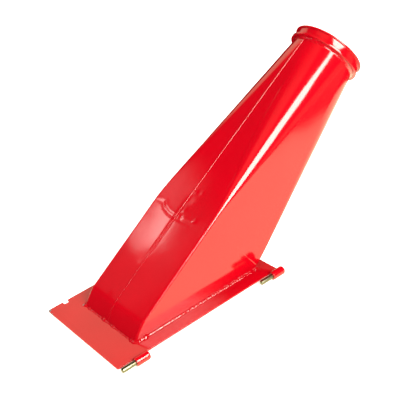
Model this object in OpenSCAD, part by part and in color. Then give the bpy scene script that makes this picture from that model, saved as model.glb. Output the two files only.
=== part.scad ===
// Hinged rectangular-to-round discharge chute for a grain auger.
// A flat mounting plate with two lift-off hinges carries a welded sheet-metal
// body that narrows from a rectangular mouth to a round collar.
// Units are millimetres. Plate underside is flat, the chute leans towards +X.

/* [Plate] */
// Plate thickness
plate_t = 3; // [2:0.5:6]
// Corner radius of the plate
plate_corner_r = 5; // [1:0.5:12]
// Strip of plate left in front of the mouth
front_strip = 67; // [55:1:85]
// Strip of plate left behind the mouth
back_strip = 31; // [24:1:45]
// Strip of plate left between the mouth and the hinge edge
hinge_strip = 37; // [28:1:50]
// Strip of plate left between the mouth and the free edge
free_strip = 49; // [38:1:64]

/* [Latch notches] */
// Width of the latch notch in the free edge
notch_w = 12; // [6:0.5:20]
// Depth of the latch notch
notch_d = 10; // [5:0.5:16]
// Inner corner radius of the notch
notch_r = 3.5; // [1:0.5:5]
// Distance of the notch centre from the nearest end of the plate
notch_from_end = 44; // [25:1:60]

/* [Chute body] */
// Length of the rectangular mouth
mouth_l = 332; // [270:1:400]
// Width of the rectangular mouth
mouth_w = 195; // [155:1:235]
// Sheet thickness of the body
sheet_t = 2; // [1.5:0.25:3]
// Run of the steep strip at the foot of the front face
toe_run = 26; // [20:1:32]
// Rise of the steep strip at the foot of the front face
toe_rise = 33; // [26:1:40]
// Distance of the crease across the front face from the top of the steep strip
crease_up = 244.4; // [200:0.1:295]
// How far the crease stands out from a straight line between that strip and the round end
crease_out = 3.8; // [1:0.1:8]
// Offset of the front seam from the middle of the body, towards the free edge
seam_offset = 6.5; // [0:0.5:15]

/* [Round end] */
// Outside diameter of the round end
tube_od = 152.4; // [125:0.1:185]
// Tilt of the round end's axis above the plate
tube_tilt = 33.46; // [26:0.01:42]
// Run from the mouth's front edge to the centre of the round end
tube_run = 684.5; // [560:0.1:820]
// Height of the centre of the round end above the plate
tube_rise = 353.4; // [290:0.1:420]

/* [Collar] */
// Height of both collar lips above the round end
lip_stand = 9.8; // [8:0.1:16]
// Height of the band between the lips above the round end
band_stand = 5.8; // [4:0.1:7]
// Wall thickness of the collar band
band_wall = 3; // [2:0.25:4]
// Overall length of the collar
collar_l = 24.8; // [18:0.1:32]
// Thickness of the lip at the open end
mouth_lip_t = 3.6; // [2:0.1:6]
// Thickness of the lip at the body end
body_lip_t = 6; // [3:0.1:9]
// Edge rounding of the lips
lip_round = 1.2; // [0.4:0.1:1.4]

/* [Hinges] */
// Outside diameter of a hinge barrel
barrel_od = 19; // [15:0.5:24]
// Length of a hinge barrel
barrel_l = 33; // [24:1:42]
// Diameter of a hinge pin
pin_d = 11; // [8:0.5:13]
// Length of pin standing out of its barrel
pin_out = 33; // [24:1:40]
// Length of pin held inside its barrel
pin_in = 22; // [14:1:26]
// Chamfer on the free end of a pin
pin_chamfer = 1.5; // [0.5:0.25:2.5]
// Shoulder that seats a pin on the mouth of its barrel, on the radius
pin_shoulder = 0.75; // [0.25:0.25:1.5]
// Clearance around a pin's shank in its barrel, on the radius
pin_clearance = 0.05; // [0.02:0.01:0.1]
// Distance from the plate's front end to the front barrel
front_barrel_x = 36; // [34:1:60]
// Distance the rear barrel stands past the plate's rear end
rear_barrel_past = 7; // [0:1:15]
// Rounding of the closed end of a barrel
barrel_round = 4; // [1:0.5:5]
// Gap between a barrel and the plate's edge, filled by the weld
barrel_gap = 0.3; // [0.1:0.1:1]

/* [Welds] */
// Leg of the fillet weld around the mouth
fillet = 4.5; // [3:0.5:7]
// Leg of the fillet weld behind the collar
collar_fillet = 3.5; // [2:0.5:5]
// Thickness left at the thin edge of the weld behind the collar
collar_weld_edge = 1.2; // [1:0.1:1.8]
// Leg of the fillet weld on the hinge barrels
hinge_fillet = 3; // [2:0.5:6]
// Length of bare barrel left at each end of its weld
hinge_weld_end = 3; // [1:0.5:8]
// Height of the seam weld above the sheet
seam_h = 0.8; // [0.4:0.1:1.5]
// Width of the seam weld
seam_w = 3; // [2:0.5:5]

/* [Hidden] */
round_fn = 72;
small_fn = 48;
open = 0.5;
red = [0.84, 0.03, 0.05];
zinc = [0.74, 0.74, 0.68];

// plan of the body on the plate, measured from the plate's front hinge corner
plate_l = front_strip + mouth_l + back_strip;
plate_w = hinge_strip + mouth_w + free_strip;
x_front = front_strip;
x_back = front_strip + mouth_l;
y_near = hinge_strip;
y_far = hinge_strip + mouth_w;
y_mid = (y_near + y_far) / 2;
y_seam = y_mid + seam_offset;
z_top = plate_t;

// profile points of the body in the plane of symmetry, [x, z]
toe = [x_front + toe_run, z_top + toe_rise];
ring_c = [x_front + tube_run, z_top + tube_rise];
tube_r = tube_od / 2;
ax = [cos(tube_tilt), sin(tube_tilt)];
up = [-sin(tube_tilt), cos(tube_tilt)];
ring_top = ring_c + tube_r * up;
ring_low = ring_c - tube_r * up;
front_a = atan2(ring_top[1] - toe[1], ring_top[0] - toe[0]);
crease = toe + crease_up * [cos(front_a), sin(front_a)]
  + crease_out * [-sin(front_a), cos(front_a)];

// the inner surface runs one sheet thickness inside the outer one
toe_a = atan2(toe_rise, toe_run);
face_a = atan2(crease[1] - toe[1], crease[0] - toe[0]);
neck_a = atan2(ring_top[1] - crease[1], ring_top[0] - crease[0]);
back_a = atan2(ring_low[1] - z_top, ring_low[0] - x_back);
in_front = x_front + sheet_t / sin(toe_a);
in_back = x_back - sheet_t / sin(back_a);
in_toe = toe + sheet_t / cos((toe_a - face_a) / 2)
  * [sin((toe_a + face_a) / 2), -cos((toe_a + face_a) / 2)];
in_crease = crease + sheet_t / cos((face_a - neck_a) / 2)
  * [sin((face_a + neck_a) / 2), -cos((face_a + neck_a) / 2)];
in_r = tube_r - sheet_t;

// how fast the body widens below the round end towards a corner at p
function flare(p) =
  let (q = p - ring_c)
  (norm([q * up, mouth_w / 2]) - tube_r) / (-q * ax);
neck_flare = max(flare(crease), flare([x_back, z_top]));

// hinge line, level with the middle of the plate's thickness
barrel_r = barrel_od / 2;
pin_r = pin_d / 2;
shank_r = pin_r - pin_shoulder;
hinge_y = -(barrel_r + barrel_gap);
hinge_z = plate_t / 2;
rear_barrel_x = plate_l + rear_barrel_past - barrel_l;

// collar, its length measured along the tube's axis from the body's round end
lip_r = tube_r + lip_stand;
band_r = tube_r + band_stand;
bore_r = band_r - band_wall;
mouth_c = ring_c + collar_l * ax;

// the whole object is set on its lowest point, centred on its own box
x_lo = min(0, front_barrel_x - pin_out);
x_hi = max(plate_l + rear_barrel_past, mouth_c[0] + lip_r * sin(tube_tilt));
y_lo = hinge_y - barrel_r;
y_hi = max(plate_w, y_mid + lip_r);
z_lo = hinge_z - barrel_r;
centre = [(x_lo + x_hi) / 2, (y_lo + y_hi) / 2, z_lo];

module place() {
  translate(-centre) children();
}

module paint() {
  color(red) place() children();
}

// X along the tube, origin at the middle of the body's round end
module on_tube() {
  translate([ring_c[0], y_mid, ring_c[1]]) rotate([0, 90 - tube_tilt, 0]) children();
}

// point i of n around a circle of radius r across the tube, at a distance along it
function ring_pt(i, n, r, along) =
  let (a = 360 * i / n, q = ring_c + along * ax + r * cos(a) * up)
  [q[0], y_mid + r * sin(a), q[1]];

// a pair of corners, one on each side of the middle plane
function pair(p, half_w) = [
  [p[0], y_mid - half_w, p[1]],
  [p[0], y_mid + half_w, p[1]]
];

// corners of the body: mouth, top of the toe strip, crease and round end
function body_points(fx, bx, z0, toe_p, crease_p, half_w, r, along) = concat(
  pair([fx, z0], half_w),
  pair([bx, z0], half_w),
  pair(toe_p, half_w),
  pair(crease_p, half_w),
  [for (i = [0:round_fn - 1]) ring_pt(i, round_fn, r, along)]
);

// convex skin over a list of points
module skin(pts) {
  hull() polyhedron(points = pts, faces = [for (i = [0:len(pts) - 3]) [i, i + 1, i + 2]]);
}

module body_outside() {
  skin(body_points(x_front, x_back, z_top, toe, crease, mouth_w / 2, tube_r, 0));
}

// reaches a little past both ends, so that it opens them
module body_inside() {
  skin(body_points(in_front - open / tan(toe_a), in_back - open / tan(back_a), z_top - open,
    in_toe, in_crease, mouth_w / 2 - sheet_t, in_r, open));
}

// everything on one side of the plane of the seams
module seam_side(far) {
  y0 = far ? y_seam : y_seam - 2 * mouth_w;
  translate([x_lo, y0, 0]) cube([x_hi - x_lo, 2 * mouth_w, ring_c[1] + 2 * lip_r]);
}

// a polygon drawn in the X-Z plane and carried from y0 to y1
module across(y0, y1) {
  translate([0, y1, 0]) rotate([90, 0, 0]) linear_extrude(height = y1 - y0) children();
}

// a polygon drawn in the Y-Z plane and carried from x0 to x1
module along(x0, x1) {
  translate([x0, 0, 0]) rotate([90, 0, 90]) linear_extrude(height = x1 - x0) children();
}

module rounded_rect(l, w, r) {
  translate([r, 0]) square([l - 2 * r, w]);
  translate([0, r]) square([l, w - 2 * r]);
  for (x = [r, l - r], y = [r, w - r])
    translate([x, y]) circle(r = r, $fn = small_fn);
}

// a notch that opens over the edge at y = plate_w, with two rounded inner corners
module notch() {
  translate([-notch_w / 2, plate_w - notch_d + notch_r]) square([notch_w, notch_d]);
  translate([-notch_w / 2 + notch_r, plate_w - notch_d]) square([notch_w - 2 * notch_r, notch_d]);
  for (x = [-1, 1])
    translate([x * (notch_w / 2 - notch_r), plate_w - notch_d + notch_r])
      circle(r = notch_r, $fn = small_fn);
}

module base_plate() {
  paint() linear_extrude(height = plate_t) difference() {
    rounded_rect(plate_l, plate_w, plate_corner_r);
    translate([in_front, y_near + sheet_t])
      square([in_back - in_front, mouth_w - 2 * sheet_t]);
    for (x = [notch_from_end, plate_l - notch_from_end])
      translate([x, 0]) notch();
  }
}

module near_half_shell() {
  paint() difference() {
    body_outside();
    body_inside();
    seam_side(true);
  }
}

module far_half_shell() {
  paint() difference() {
    body_outside();
    body_inside();
    seam_side(false);
  }
}

// half section of a flange with rounded outer corners
module lip_section(r0, t) {
  rr = min(lip_round, t / 2 - 0.1);
  translate([r0, 0]) square([lip_r - rr - r0, t]);
  translate([r0, rr]) square([lip_r - r0, t - 2 * rr]);
  for (z = [rr, t - rr])
    translate([lip_r - rr, z]) circle(r = rr, $fn = small_fn);
}

module collar() {
  paint() on_tube() rotate_extrude($fn = 2 * round_fn) {
    lip_section(in_r, body_lip_t);
    translate([bore_r, 0]) square([band_wall, collar_l]);
    translate([0, collar_l - mouth_lip_t]) lip_section(bore_r, mouth_lip_t);
  }
}

// section of the fillet weld on a wall that rises from foot at angle a, on side s
module foot_fillet(foot, a, s) {
  polygon([
    foot,
    foot + [s * fillet, 0],
    foot + fillet * [cos(a), sin(a)]
  ]);
}

module front_fillet() {
  across(y_near, y_far) foot_fillet([x_front, z_top], toe_a, -1);
}

module back_fillet() {
  across(y_near, y_far) foot_fillet([x_back, z_top], back_a, 1);
}

module side_fillet(y, s) {
  along(x_front, x_back) foot_fillet([y, z_top], 90, s);
}

// ring of weld in the corner between the body and the collar; its inner face
// flares enough to clear the widest corner of the body
module neck_fillet() {
  on_tube() rotate_extrude($fn = 3 * round_fn) polygon([
    [tube_r, 0],
    [tube_r + collar_fillet, 0],
    [tube_r + collar_weld_edge, -collar_fillet],
    [tube_r + neck_flare * collar_fillet, -collar_fillet]
  ]);
}

module front_seam_weld() {
  n0 = seam_h * [-sin(toe_a), cos(toe_a)];
  n1 = seam_h * [-sin(face_a), cos(face_a)];
  n2 = seam_h * [-sin(neck_a), cos(neck_a)];
  foot = [x_front, z_top];
  paint() difference() {
    across(y_seam - seam_w / 2, y_seam + seam_w / 2) polygon([
      foot, foot + n0, toe + n0, toe + n1, crease + n1, crease + n2, ring_top + n2,
      ring_top - open * up - sheet_t * up, crease + [open, -open], toe + [open, -open]
    ]);
    body_outside();
    front_fillet();
    on_tube() translate([0, 0, -collar_fillet]) cylinder(r = lip_r, h = lip_r, $fn = round_fn);
  }
}

module back_seam_weld() {
  n = seam_h * [sin(back_a), -cos(back_a)];
  foot = [x_back, z_top];
  paint() difference() {
    across(y_seam - seam_w / 2, y_seam + seam_w / 2) polygon([
      foot, ring_low + (open + sheet_t) * up, ring_low + n,
      foot + seam_h / sin(back_a) * [1, 0]
    ]);
    body_outside();
    back_fillet();
    on_tube() translate([0, 0, -collar_fillet]) cylinder(r = lip_r, h = lip_r, $fn = round_fn);
  }
}

module near_base_weld() {
  paint() side_fillet(y_near, -1);
}

module far_base_weld() {
  paint() side_fillet(y_far, 1);
}

module front_base_weld() {
  paint() front_fillet();
}

module back_base_weld() {
  paint() back_fillet();
}

module collar_weld() {
  paint() neck_fillet();
}

// the hinge line runs along X; what is drawn upwards starts at x
module on_hinge(x) {
  translate([x, hinge_y, hinge_z]) rotate([0, 90, 0]) children();
}

module barrel(x) {
  rr = min(barrel_round, barrel_r / 2);
  paint() on_hinge(x) rotate_extrude($fn = small_fn) difference() {
    union() {
      square([barrel_r, barrel_l - rr]);
      square([barrel_r - rr, barrel_l]);
      translate([barrel_r - rr, barrel_l - rr]) circle(r = rr, $fn = small_fn);
    }
    square([shank_r + pin_clearance, pin_in]);
  }
}

module pin(x) {
  color(zinc) place() on_hinge(x) rotate_extrude($fn = small_fn) polygon([
    [0, -pin_out],
    [pin_r - pin_chamfer, -pin_out],
    [pin_r, -pin_out + pin_chamfer],
    [pin_r, 0],
    [shank_r, 0],
    [shank_r, pin_in],
    [0, pin_in]
  ]);
}

// a fillet on top of the plate that also fills the gap down to the flush underside
module barrel_weld(x) {
  rise = plate_t + hinge_fillet;
  y_on = hinge_y + sqrt(barrel_r * barrel_r - (rise - hinge_z) * (rise - hinge_z));
  paint() difference() {
    along(x + hinge_weld_end, x + barrel_l - hinge_weld_end) polygon([
      [hinge_fillet, plate_t],
      [y_on, rise],
      [hinge_y, hinge_z],
      [hinge_y, 0],
      [0, 0],
      [0, plate_t]
    ]);
    on_hinge(x) cylinder(r = barrel_r, h = barrel_l, $fn = small_fn);
  }
}

module front_hinge_barrel() {
  barrel(front_barrel_x);
}

module rear_hinge_barrel() {
  barrel(rear_barrel_x);
}

module front_hinge_pin() {
  pin(front_barrel_x);
}

module rear_hinge_pin() {
  pin(rear_barrel_x);
}

module front_hinge_weld() {
  barrel_weld(front_barrel_x);
}

module rear_hinge_weld() {
  barrel_weld(rear_barrel_x);
}

base_plate();
near_half_shell();
far_half_shell();
collar();
front_seam_weld();
back_seam_weld();
near_base_weld();
far_base_weld();
front_base_weld();
back_base_weld();
collar_weld();
front_hinge_barrel();
rear_hinge_barrel();
front_hinge_pin();
rear_hinge_pin();
front_hinge_weld();
rear_hinge_weld();
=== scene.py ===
import functools
import math

import bpy
import numpy as np
from mathutils import Matrix, Vector
from mathutils.geometry import delaunay_2d_cdt


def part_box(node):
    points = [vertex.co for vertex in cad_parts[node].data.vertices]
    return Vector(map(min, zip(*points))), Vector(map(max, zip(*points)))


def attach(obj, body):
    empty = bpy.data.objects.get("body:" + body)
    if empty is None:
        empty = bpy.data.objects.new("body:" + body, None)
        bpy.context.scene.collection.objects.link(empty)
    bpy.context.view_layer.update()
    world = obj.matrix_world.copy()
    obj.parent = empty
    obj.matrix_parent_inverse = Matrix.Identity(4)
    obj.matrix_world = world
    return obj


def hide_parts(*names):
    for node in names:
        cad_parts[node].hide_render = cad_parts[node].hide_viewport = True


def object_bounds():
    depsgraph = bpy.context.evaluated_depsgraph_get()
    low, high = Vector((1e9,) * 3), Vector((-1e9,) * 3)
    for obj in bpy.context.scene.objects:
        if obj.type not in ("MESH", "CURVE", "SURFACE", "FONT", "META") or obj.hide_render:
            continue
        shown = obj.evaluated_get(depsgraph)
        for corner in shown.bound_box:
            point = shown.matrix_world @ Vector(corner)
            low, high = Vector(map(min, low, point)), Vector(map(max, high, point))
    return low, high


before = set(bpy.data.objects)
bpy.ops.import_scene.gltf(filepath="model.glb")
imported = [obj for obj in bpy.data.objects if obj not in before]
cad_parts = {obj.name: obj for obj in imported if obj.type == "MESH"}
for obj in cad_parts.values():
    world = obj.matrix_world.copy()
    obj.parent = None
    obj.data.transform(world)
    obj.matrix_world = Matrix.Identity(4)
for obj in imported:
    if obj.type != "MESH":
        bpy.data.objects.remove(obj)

bl_info = {
    "name": "Hinged round-to-square chute",
    "version": (1, 0, 0),
    "blender": (4, 5, 0),
    "location": "3D View > Sidebar > Chute",
    "description": "Builds a painted sheet-metal chute on a hinged plate around its CAD frame",
    "category": "Object",
}

CAD_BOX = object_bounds()
PLATE_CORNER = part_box("base_plate")[0]
TAU = 2 * math.pi


def length(name, description, default):
    return bpy.props.FloatProperty(
        name=name, description=description, default=default, min=0.0,
        unit="LENGTH", subtype="DISTANCE", precision=4)


def angle(name, description, default):
    return bpy.props.FloatProperty(
        name=name, description=description, default=math.radians(default), subtype="ANGLE")


def colour(name, description, default):
    return bpy.props.FloatVectorProperty(
        name=name, description=description, default=default, size=3,
        min=0.0, max=1.0, subtype="COLOR")


def factor(name, description, default, top=1.0):
    return bpy.props.FloatProperty(
        name=name, description=description, default=default, min=0.0, max=top, subtype="FACTOR")


class ChuteBodySizes(bpy.types.PropertyGroup):
    front_strip: length("Front strip", "Plate in front of the mouth", 0.067)
    hinge_strip: length("Hinge strip", "Plate between the mouth and the hinge edge", 0.037)
    mouth_length: length("Mouth length", "Length of the rectangular mouth", 0.332)
    mouth_width: length("Mouth width", "Width of the rectangular mouth", 0.195)
    plate_thickness: length("Plate thickness", "The body stands on top of the plate", 0.003)
    toe_run: length("Toe run", "Run of the steep strip at the foot of the front face", 0.026)
    toe_rise: length("Toe rise", "Rise of that strip", 0.033)
    toe_bend: length("Toe bend", "Bend radius between the steep strip and the front face", 0.050)
    crease_along: length("Crease along", "Crease of the front face, from the plate's front end", 0.2984)
    crease_height: length("Crease height", "Crease of the front face, above the underside", 0.1684)
    round_along: length("Round end along", "Centre of the round end, from the front end", 0.7515)
    round_height: length("Round end height", "Centre of the round end, above the underside", 0.3564)
    round_radius: length("Round end radius", "Outside radius of the round end", 0.0762)
    tilt: angle("Tilt", "Tilt of the round end's axis above the plate", 33.46)
    sheet: length("Sheet", "Thickness of the sheet metal", 0.002)
    bend: length("Bend radius", "Outside radius of the long bends", 0.0055)
    seam_offset: length("Seam offset", "Welded seam, from the middle towards the free edge", 0.0065)
    seam_lift: length("Seam lift", "How far the front stands proud along its seam", 0.0003)
    ripple: length("Sheet ripple", "Unevenness left in the sheet by rolling", 0.00022)


class CollarSizes(bpy.types.PropertyGroup):
    lip_radius: length("Lip radius", "Outside radius of both lips", 0.086)
    band_radius: length("Band radius", "Outside radius of the band", 0.082)
    bore_radius: length("Bore radius", "Inside radius of the band", 0.079)
    inner_radius: length("Inner radius", "Inside radius of the body lip", 0.0742)
    collar_length: length("Collar length", "Overall length", 0.0248)
    body_lip: length("Body lip", "Thickness of the lip at the body", 0.006)
    mouth_lip: length("Mouth lip", "Thickness of the lip at the open end", 0.0036)
    edge: length("Edge rounding", "Rounding of the lips' outer edges", 0.0012)


class HingeSizes(bpy.types.PropertyGroup):
    line_y: length("Hinge line", "Hinge axis outside the plate's hinge edge", 0.0098)
    line_z: length("Hinge height", "Hinge axis above the plate's underside", 0.0015)
    front_start: length("Front barrel", "Start of the front barrel from the front end", 0.036)
    rear_start: length("Rear barrel", "Start of the rear barrel from the front end", 0.404)
    barrel_length: length("Barrel length", "Length of a barrel", 0.033)
    barrel_radius: length("Barrel radius", "Outside radius of a barrel", 0.0095)
    barrel_end: length("Closed end", "Rounding of a barrel's closed end", 0.004)
    pin_radius: length("Pin radius", "Radius of a pin", 0.0055)
    pin_out: length("Pin out", "Length of pin standing out of its barrel", 0.033)
    pin_chamfer: length("Pin chamfer", "Chamfer on a pin's free end", 0.0015)
    shank_radius: length("Shank radius", "Radius of the part held in the barrel", 0.00475)
    shank_length: length("Shank length", "Length of the part held in the barrel", 0.022)


class PlateSizes(bpy.types.PropertyGroup):
    plate_length: length("Plate length", "Along the hinge edge", 0.430)
    plate_width: length("Plate width", "From hinge edge to free edge", 0.281)
    corner: length("Corner radius", "Rounded corners of the plate", 0.005)
    notch_width: length("Notch width", "Latch notch in the free edge", 0.012)
    notch_depth: length("Notch depth", "Latch notch in the free edge", 0.010)
    notch_corner: length("Notch corner", "Inner corner radius of a notch", 0.0035)
    notch_in: length("Notch place", "Notch centre from the nearest end", 0.044)
    edge: length("Edge break", "Rounding of the cut edges", 0.0005)


class FinishSettings(bpy.types.PropertyGroup):
    paint: colour("Paint", "Colour of the enamel", (0.37, 0.0003, 0.0050))
    paint_deep: colour("Deep paint", "Enamel where it has pooled", (0.29, 0.0002, 0.0036))
    grime: colour("Grime", "Dust caught along the welds", (0.10, 0.012, 0.010))
    steel: colour("Bare steel", "Steel showing in chips", (0.16, 0.13, 0.12))
    zinc: colour("Zinc", "Plating of the hinge pins", (0.27, 0.25, 0.17))
    zinc_dull: colour("Dull zinc", "Plating where it has clouded", (0.16, 0.16, 0.10))
    gloss: factor("Roughness", "Roughness of the enamel", 0.10)


class LightSettings(bpy.types.PropertyGroup):
    key: factor("Key lamp", "Brightness of the large lamp on the hinge side", 19.0, 100.0)
    back: factor("Back lamp", "Brightness of the lamp behind the chute", 1.05, 100.0)
    fill: factor("Fill lamp", "Brightness of the lamp on the front side", 7.0, 100.0)
    small: factor("Small lamp", "Brightness of the small lamp mirrored in the front face", 6.0, 100.0)
    left: factor("Left lamp", "Brightness of the lamp mirrored along the front bend", 9.0, 100.0)
    over: factor("Faint lamps", "Brightness of the faint sheets overhead and low down", 0.35, 100.0)
    veil: factor("Veil", "Brightness of the faint sheet round the small lamp", 0.9, 100.0)
    floor_glow: factor("Floor glow", "Light that the pale floor gives off", 0.6, 10.0)
    floor_in_gloss: factor("Floor in gloss", "The lit floor, as a glossy surface mirrors it", 2.2, 10.0)
    air: factor("Air", "Even light from all round", 1.08, 10.0)
    air_in_gloss: factor("Air in gloss", "The same light, as a glossy surface mirrors it", 0.01, 10.0)


GROUPS = {
    "chute_light": LightSettings,
    "chute_body": ChuteBodySizes,
    "chute_collar": CollarSizes,
    "chute_hinge": HingeSizes,
    "chute_plate": PlateSizes,
    "chute_finish": FinishSettings,
}

# Rows of the skin below and above the crease, columns from seam to seam, and the points on
# each flat, side and quarter circle of a section
LOW_ROWS, HIGH_ROWS, COLUMNS, STRETCH_POINTS = 84, 156, 158, 61
# How far rows crowd towards the crease from below and from above
LOW_CROWDING, HIGH_CROWDING = 0.18, 0.2
# How much finer the columns are beside the front seam, how far from it, and up to what turn
SEAM_CROWDING, SEAM_REACH, FRONT_TURN = 1.6, 0.05, 0.8
# A turn of one radian takes as many columns as this length of flat
TURN_LENGTH = 0.030
# How deep a weld reaches into the metal that it joins
BEDDING = 0.0006


def unit(v):
    """Each vector divided by its own length."""
    return v / np.maximum(np.linalg.norm(v, axis=-1, keepdims=True), 1e-12)


def smooth(a, b, x):
    """Nought below a, one above b, and 3t squared less 2t cubed between them."""
    t = np.clip((x - a) / (b - a), 0.0, 1.0)
    return t * t * (3 - 2 * t)


def hump(x, centre, width):
    """A bell: e to the power of minus the squared distance over the squared width."""
    return np.exp(-(((x - centre) / width) ** 2))


def grain(x, seed, octaves=4):
    """Seeded unevenness along a line: a sum of sines whose lengths halve and phases are drawn."""
    rng = np.random.default_rng(seed)
    out = np.zeros_like(x)
    for k in range(octaves):
        out += np.sin(x * TAU * 2 ** k * rng.uniform(0.8, 1.25) + rng.uniform(0, TAU)) / 1.6 ** k
    return out / 2.0


def grid_faces(rows, cols, wrap_rows=False, wrap_cols=False):
    """Quads between neighbours of a rows by cols grid whose points are numbered row by row."""
    i = np.arange(rows if wrap_rows else rows - 1)[:, None]
    j = np.arange(cols if wrap_cols else cols - 1)[None, :]
    i2, j2 = (i + 1) % rows, (j + 1) % cols
    quads = np.stack(np.broadcast_arrays(
        i * cols + j, i * cols + j2, i2 * cols + j2, i2 * cols + j), -1)
    return quads.reshape(-1, 4)


def merged(points, faces, near=1e-7):
    """Points that coincide become one, and a quad that loses a corner becomes a triangle."""
    key = np.round(points / near).astype(np.int64)
    _, first, back = np.unique(key, axis=0, return_index=True, return_inverse=True)
    back = back.reshape(-1)
    order = np.argsort(first)
    rank = np.empty_like(order)
    rank[order] = np.arange(len(order))
    points = points[first[order]]
    out = []
    for face in faces:
        face = rank[back[np.asarray(face)]]
        same = face == np.roll(face, 1, axis=-1)
        for corners in (3, 4):
            if face.shape[-1] >= corners:
                pick = face[(~same).sum(-1) == corners]
                keep = ~same[(~same).sum(-1) == corners]
                out += pick[keep].reshape(-1, corners).tolist()
    return points, out


def outward(points, faces):
    """Six times the volume is the sum of a . (b x c) over the triangles: below nought, faces turn."""
    total = 0.0
    for corners in (3, 4):
        f = np.array([q for q in faces if len(q) == corners], int).reshape(-1, corners)
        for k in range(1, corners - 1):
            a, b, c = points[f[:, 0]], points[f[:, k]], points[f[:, k + 1]]
            total += np.einsum("ij,ij->", a, np.cross(b, c))
    return faces if total > 0 else [q[::-1] for q in faces]


def travelled(path):
    """Distance along a chain of points to each of them."""
    return np.concatenate([[0], np.cumsum(np.linalg.norm(np.diff(path, axis=0), axis=1))])


def picked(at, distances, values):
    """Rows of values at other distances, by straight-line interpolation of each column."""
    return np.stack([np.interp(at, distances, column) for column in values.T], -1)


def make_piece(name, points, faces, material, nodes, flat=None):
    """One closed mesh in the row frame, from points measured from the plate's corner.

    Faces whose normal's upward share is over flat, either way, are shaded flat.
    """
    points, faces = merged(np.asarray(points, float).reshape(-1, 3), faces)
    faces = outward(points - points.mean(0), faces)
    mesh = bpy.data.meshes.new(name)
    mesh.from_pydata((points + np.array(PLATE_CORNER)).tolist(), [], faces)
    mesh.validate()
    mesh.polygons.foreach_set("use_smooth", np.ones(len(mesh.polygons), bool))
    if flat is not None:
        normals = np.zeros(len(mesh.polygons) * 3, np.float32)
        mesh.polygons.foreach_get("normal", normals)
        level = np.abs(normals.reshape(-1, 3)[:, 2]) > flat
        mesh.polygons.foreach_set("use_smooth", ~level)
    mesh.update()
    mesh.materials.append(material)
    piece = bpy.data.objects.new(name, mesh)
    bpy.context.scene.collection.objects.link(piece)
    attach(piece, "root")
    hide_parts(*nodes)
    return piece


# ---- shapes -------------------------------------------------------------------------------

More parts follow.
